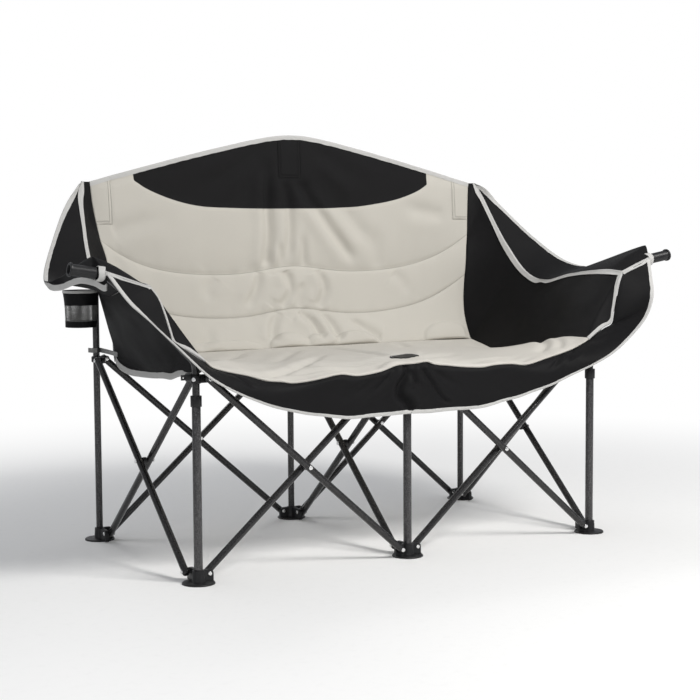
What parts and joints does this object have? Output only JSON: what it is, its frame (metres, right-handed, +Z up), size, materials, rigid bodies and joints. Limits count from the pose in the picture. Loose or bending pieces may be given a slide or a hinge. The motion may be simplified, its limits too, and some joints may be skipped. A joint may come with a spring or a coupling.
{
  "type": "folding camping loveseat",
  "caption": "Folding two-seat camping loveseat: padded cloth bucket seat with winged arms on a scissor frame of crossed steel tubes.",
  "frame": {"origin": "middle of the whole part's box, on the ground", "axes": "+Z up; +X to the right as seen from the front, along the seat; +Y toward the back, so a sitter faces -Y"},
  "size_m": [1.6008, 0.691, 0.983],
  "materials": {
    "grey_steel": "hammered grey powder coat",
    "dark_steel": "hammered dark grey powder coat",
    "zinc": "bright zinc",
    "black_plastic": "satin moulded",
    "cream_cloth": "woven, padded",
    "black_cloth": "woven",
    "grey_mesh": "open mesh"
  },
  "bodies": {
    "rear_middle_leg": {"rear_middle_foot": "black_plastic", "rear_middle_pole": "grey_steel", "rear_middle_pole_cap": "black_plastic", "back_panel": "cream_cloth"},
    "middle_inner_tube": {"middle_cross_tube_inner": "dark_steel", "middle_cross_rivet": "zinc"},
    "middle_outer_tube": {"middle_cross_tube_outer": "dark_steel"},
    "front_middle_leg": {"front_middle_foot": "black_plastic", "front_middle_leg_tube": "grey_steel", "front_middle_leg_collar": "black_plastic"},
    "rear_middle_hub": {"rear_middle_hub": "black_plastic"},
    "front_middle_hub": {"front_middle_hub": "black_plastic", "front_middle_upper_tube": "dark_steel", "seat_pad": "cream_cloth", "front_skirt": "black_cloth"},
    "rear_left_outer_tube": {"rear_left_cross_tube_outer": "dark_steel", "rear_left_cross_rivet": "zinc"},
    "rear_left_inner_tube": {"rear_left_cross_tube_inner": "dark_steel"},
    "rear_right_inner_tube": {"rear_right_cross_tube_inner": "dark_steel", "rear_right_cross_rivet": "zinc"},
    "rear_right_outer_tube": {"rear_right_cross_tube_outer": "dark_steel"},
    "front_left_outer_tube": {"front_left_cross_tube_outer": "dark_steel", "front_left_cross_rivet": "zinc"},
    "front_left_inner_tube": {"front_left_cross_tube_inner": "dark_steel"},
    "front_right_inner_tube": {"front_right_cross_tube_inner": "dark_steel", "front_right_cross_rivet": "zinc"},
    "front_right_outer_tube": {"front_right_cross_tube_outer": "dark_steel"},
    "left_side_inner_tube": {"left_side_cross_tube_inner": "dark_steel", "left_side_cross_rivet": "zinc"},
    "left_side_outer_tube": {"left_side_cross_tube_outer": "dark_steel"},
    "right_side_inner_tube": {"right_side_cross_tube_inner": "dark_steel", "right_side_cross_rivet": "zinc"},
    "right_side_outer_tube": {"right_side_cross_tube_outer": "dark_steel"},
    "rear_left_leg": {"rear_left_foot": "black_plastic", "rear_left_pole": "grey_steel", "rear_left_pole_cap": "black_plastic"},
    "rear_left_hub": {"rear_left_hub": "black_plastic"},
    "front_left_leg": {"front_left_foot": "black_plastic", "front_left_leg_tube": "grey_steel", "front_left_leg_collar": "black_plastic"},
    "front_left_hub": {"front_left_hub": "black_plastic", "left_arm_post": "dark_steel", "left_arm_cap": "black_plastic", "left_side_panel": "black_cloth", "left_wing": "black_cloth", "left_cup_pocket": "grey_mesh"},
    "rear_right_leg": {"rear_right_foot": "black_plastic", "rear_right_pole": "grey_steel", "rear_right_pole_cap": "black_plastic"},
    "rear_right_hub": {"rear_right_hub": "black_plastic"},
    "front_right_leg": {"front_right_foot": "black_plastic", "front_right_leg_tube": "grey_steel", "front_right_leg_collar": "black_plastic"},
    "front_right_hub": {"front_right_hub": "black_plastic", "right_arm_post": "dark_steel", "right_arm_cap": "black_plastic", "right_side_panel": "black_cloth", "right_wing": "black_cloth", "right_cup_pocket": "grey_mesh"}
  },
  "joints": [
    {"name": "fold", "type": "hinge", "parent": "rear_middle_leg", "child": "middle_inner_tube", "pos_m": [0, 0.26948, 0.02], "axis": [-1, 0, 0], "range_deg": [0, 43], "deforming": ["back_panel", "seat_pad", "front_skirt", "left_side_panel", "right_side_panel", "left_wing", "right_wing", "left_cup_pocket", "right_cup_pocket"]},
    {"name": "middle_crossing", "type": "hinge", "parent": "middle_inner_tube", "child": "middle_outer_tube", "pos_m": [0, 0.02948, 0.23], "axis": [1, 0, 0], "range_deg": [0, 86]},
    {"name": "front_middle_leg_pivot", "type": "hinge", "parent": "middle_outer_tube", "child": "front_middle_leg", "pos_m": [0, -0.21052, 0.02], "axis": [-1, 0, 0], "range_deg": [0, 43]},
    {"name": "rear_middle_hub_pivot", "type": "hinge", "parent": "middle_outer_tube", "child": "rear_middle_hub", "pos_m": [0, 0.26948, 0.44], "axis": [-1, 0, 0], "range_deg": [0, 43]},
    {"name": "front_middle_hub_pivot", "type": "hinge", "parent": "middle_inner_tube", "child": "front_middle_hub", "pos_m": [0, -0.21052, 0.44], "axis": [1, 0, 0], "range_deg": [0, 43]},
    {"name": "rear_left_foot_pivot", "type": "hinge", "parent": "rear_middle_leg", "child": "rear_left_outer_tube", "pos_m": [-0.025, 0.30948, 0.02], "axis": [0, 1, 0], "range_deg": [0, 43]},
    {"name": "rear_left_crossing", "type": "hinge", "parent": "rear_left_outer_tube", "child": "rear_left_inner_tube", "pos_m": [-0.265, 0.30948, 0.23], "axis": [0, -1, 0], "range_deg": [0, 86]},
    {"name": "rear_left_leg_pivot", "type": "hinge", "parent": "rear_left_inner_tube", "child": "rear_left_leg", "pos_m": [-0.505, 0.30948, 0.02], "axis": [0, 1, 0], "range_deg": [0, 43]},
    {"name": "rear_left_hub_pivot", "type": "hinge", "parent": "rear_left_outer_tube", "child": "rear_left_hub", "pos_m": [-0.505, 0.30948, 0.44], "axis": [0, -1, 0], "range_deg": [0, 43]},
    {"name": "rear_right_foot_pivot", "type": "hinge", "parent": "rear_middle_leg", "child": "rear_right_inner_tube", "pos_m": [0.025, 0.30948, 0.02], "axis": [0, -1, 0], "range_deg": [0, 43]},
    {"name": "rear_right_crossing", "type": "hinge", "parent": "rear_right_inner_tube", "child": "rear_right_outer_tube", "pos_m": [0.265, 0.30948, 0.23], "axis": [0, 1, 0], "range_deg": [0, 86]},
    {"name": "rear_right_leg_pivot", "type": "hinge", "parent": "rear_right_outer_tube", "child": "rear_right_leg", "pos_m": [0.505, 0.30948, 0.02], "axis": [0, -1, 0], "range_deg": [0, 43]},
    {"name": "rear_right_hub_pivot", "type": "hinge", "parent": "rear_right_inner_tube", "child": "rear_right_hub", "pos_m": [0.505, 0.30948, 0.44], "axis": [0, 1, 0], "range_deg": [0, 43]},
    {"name": "front_left_foot_pivot", "type": "hinge", "parent": "front_middle_leg", "child": "front_left_outer_tube", "pos_m": [-0.025, -0.25052, 0.02], "axis": [0, 1, 0], "range_deg": [0, 43]},
    {"name": "front_left_crossing", "type": "hinge", "parent": "front_left_outer_tube", "child": "front_left_inner_tube", "pos_m": [-0.265, -0.25052, 0.23], "axis": [0, -1, 0], "range_deg": [0, 86]},
    {"name": "front_left_leg_pivot", "type": "hinge", "parent": "front_left_inner_tube", "child": "front_left_leg", "pos_m": [-0.505, -0.25052, 0.02], "axis": [0, 1, 0], "range_deg": [0, 43]},
    {"name": "front_left_hub_pivot", "type": "hinge", "parent": "front_left_outer_tube", "child": "front_left_hub", "pos_m": [-0.505, -0.25052, 0.44], "axis": [0, -1, 0], "range_deg": [0, 43]},
    {"name": "front_right_foot_pivot", "type": "hinge", "parent": "front_middle_leg", "child": "front_right_inner_tube", "pos_m": [0.025, -0.25052, 0.02], "axis": [0, -1, 0], "range_deg": [0, 43]},
    {"name": "front_right_crossing", "type": "hinge", "parent": "front_right_inner_tube", "child": "front_right_outer_tube", "pos_m": [0.265, -0.25052, 0.23], "axis": [0, 1, 0], "range_deg": [0, 86]},
    {"name": "front_right_leg_pivot", "type": "hinge", "parent": "front_right_outer_tube", "child": "front_right_leg", "pos_m": [0.505, -0.25052, 0.02], "axis": [0, -1, 0], "range_deg": [0, 43]},
    {"name": "front_right_hub_pivot", "type": "hinge", "parent": "front_right_inner_tube", "child": "front_right_hub", "pos_m": [0.505, -0.25052, 0.44], "axis": [0, 1, 0], "range_deg": [0, 43]},
    {"name": "left_side_foot_pivot", "type": "hinge", "parent": "rear_left_leg", "child": "left_side_inner_tube", "pos_m": [-0.53, 0.26948, 0.02], "axis": [-1, 0, 0], "range_deg": [0, 43]},
    {"name": "left_side_crossing", "type": "hinge", "parent": "left_side_inner_tube", "child": "left_side_outer_tube", "pos_m": [-0.53, 0.02948, 0.23], "axis": [1, 0, 0], "range_deg": [0, 86]},
    {"name": "right_side_foot_pivot", "type": "hinge", "parent": "rear_right_leg", "child": "right_side_inner_tube", "pos_m": [0.53, 0.26948, 0.02], "axis": [-1, 0, 0], "range_deg": [0, 43]},
    {"name": "right_side_crossing", "type": "hinge", "parent": "right_side_inner_tube", "child": "right_side_outer_tube", "pos_m": [0.53, 0.02948, 0.23], "axis": [1, 0, 0], "range_deg": [0, 86]}
  ],
  "couplings": [
    {"joint": "middle_crossing", "follows": "fold", "ratio": 2},
    {"joint": "front_middle_leg_pivot", "follows": "fold", "ratio": 1},
    {"joint": "rear_middle_hub_pivot", "follows": "fold", "ratio": 1},
    {"joint": "front_middle_hub_pivot", "follows": "fold", "ratio": 1},
    {"joint": "rear_left_foot_pivot", "follows": "fold", "ratio": 1},
    {"joint": "rear_left_crossing", "follows": "fold", "ratio": 2},
    {"joint": "rear_left_leg_pivot", "follows": "fold", "ratio": 1},
    {"joint": "rear_left_hub_pivot", "follows": "fold", "ratio": 1},
    {"joint": "rear_right_foot_pivot", "follows": "fold", "ratio": 1},
    {"joint": "rear_right_crossing", "follows": "fold", "ratio": 2},
    {"joint": "rear_right_leg_pivot", "follows": "fold", "ratio": 1},
    {"joint": "rear_right_hub_pivot", "follows": "fold", "ratio": 1},
    {"joint": "front_left_foot_pivot", "follows": "fold", "ratio": 1},
    {"joint": "front_left_crossing", "follows": "fold", "ratio": 2},
    {"joint": "front_left_leg_pivot", "follows": "fold", "ratio": 1},
    {"joint": "front_left_hub_pivot", "follows": "fold", "ratio": 1},
    {"joint": "front_right_foot_pivot", "follows": "fold", "ratio": 1},
    {"joint": "front_right_crossing", "follows": "fold", "ratio": 2},
    {"joint": "front_right_leg_pivot", "follows": "fold", "ratio": 1},
    {"joint": "front_right_hub_pivot", "follows": "fold", "ratio": 1},
    {"joint": "left_side_foot_pivot", "follows": "fold", "ratio": 1},
    {"joint": "left_side_crossing", "follows": "fold", "ratio": 2},
    {"joint": "right_side_foot_pivot", "follows": "fold", "ratio": 1},
    {"joint": "right_side_crossing", "follows": "fold", "ratio": 2}
  ]
}
